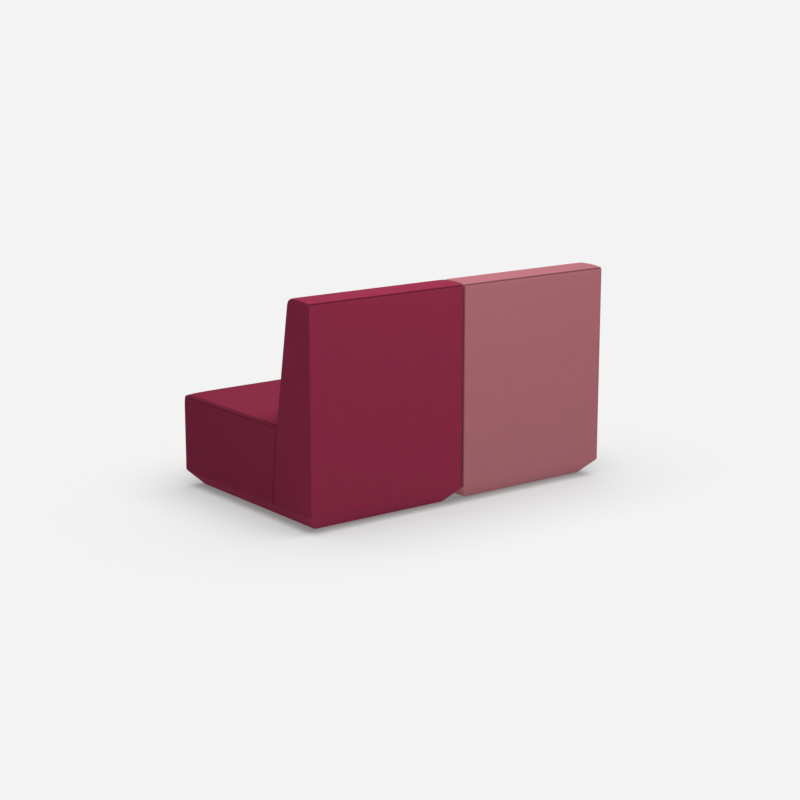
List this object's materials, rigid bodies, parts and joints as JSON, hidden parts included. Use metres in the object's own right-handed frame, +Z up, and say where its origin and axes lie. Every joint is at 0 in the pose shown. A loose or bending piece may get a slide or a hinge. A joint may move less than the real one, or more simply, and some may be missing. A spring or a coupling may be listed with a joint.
{
  "type": "high-back two-seat sofa",
  "caption": "Low modular lounge sofa of tightly upholstered block seats with tall wedge backs and bevelled feet, linked side by side in contrasting colours.",
  "frame": {"origin": "on the floor, under the middle of the sofa's bounding box", "axes": "+Z up; the seats face -Y; +X to the sitter's left, where the burgundy module stands"},
  "size_m": [1.602, 0.99, 0.973],
  "materials": {
    "burgundy_fabric": "fine flat-woven upholstery wool, matt",
    "pink_fabric": "fine flat-woven upholstery wool, matt",
    "dust_cover_cloth": "black spunbond cloth",
    "foam": "open-cell polyurethane foam",
    "webbing": "woven elastic webbing",
    "plywood": "unfinished birch plywood",
    "hardboard": "smooth brown hardboard",
    "zinc_steel": "zinc-plated steel",
    "glide_plastic": "black moulded nylon"
  },
  "bodies": {
    "sofa": {"left_back_base_board": "plywood", "left_back_cover": "burgundy_fabric", "left_back_dust_cover": "dust_cover_cloth", "left_back_front_foam": "foam", "left_back_inner_gable": "plywood", "left_back_lower_rail": "plywood", "left_back_outer_gable": "plywood", "left_back_rear_panel": "hardboard", "left_back_top_board": "plywood", "left_back_upper_rail": "plywood", "left_back_webbing": "webbing", "left_back_wrap_foam": "foam", "left_glide_screws": "zinc_steel", "left_glides": "glide_plastic", "left_joining_bolts": "zinc_steel", "left_seat_base_board": "plywood", "left_seat_border_foam": "foam", "left_seat_corner_blocks": "plywood", "left_seat_cover": "burgundy_fabric", "left_seat_dust_cover": "dust_cover_cloth", "left_seat_front_rail": "plywood", "left_seat_inner_rail": "plywood", "left_seat_outer_rail": "plywood", "left_seat_rear_rail": "plywood", "left_seat_top_foam": "foam", "left_seat_webbing": "webbing", "left_tee_nuts": "zinc_steel", "link_catch_studs": "zinc_steel", "link_pivot_bolts": "zinc_steel", "right_back_base_board": "plywood", "right_back_cover": "pink_fabric", "right_back_dust_cover": "dust_cover_cloth", "right_back_front_foam": "foam", "right_back_inner_gable": "plywood", "right_back_lower_rail": "plywood", "right_back_outer_gable": "plywood", "right_back_rear_panel": "hardboard", "right_back_top_board": "plywood", "right_back_upper_rail": "plywood", "right_back_webbing": "webbing", "right_back_wrap_foam": "foam", "right_glide_screws": "zinc_steel", "right_glides": "glide_plastic", "right_joining_bolts": "zinc_steel", "right_seat_base_board": "plywood", "right_seat_border_foam": "foam", "right_seat_corner_blocks": "plywood", "right_seat_cover": "pink_fabric", "right_seat_dust_cover": "dust_cover_cloth", "right_seat_front_rail": "plywood", "right_seat_inner_rail": "plywood", "right_seat_outer_rail": "plywood", "right_seat_rear_rail": "plywood", "right_seat_top_foam": "foam", "right_seat_webbing": "webbing", "right_tee_nuts": "zinc_steel"},
    "front_link": {"front_link_plate": "zinc_steel"},
    "rear_link": {"rear_link_plate": "zinc_steel"}
  },
  "joints": [
    {"name": "front_link_swing", "type": "hinge", "parent": "sofa", "child": "front_link", "pos_m": [0.113, -0.31, 0.0057], "axis": [0, 0, 1], "range_deg": [-90, 0]},
    {"name": "rear_link_swing", "type": "hinge", "parent": "sofa", "child": "rear_link", "pos_m": [0.113, 0.25, 0.0057], "axis": [0, 0, 1], "range_deg": [0, 90]}
  ]
}
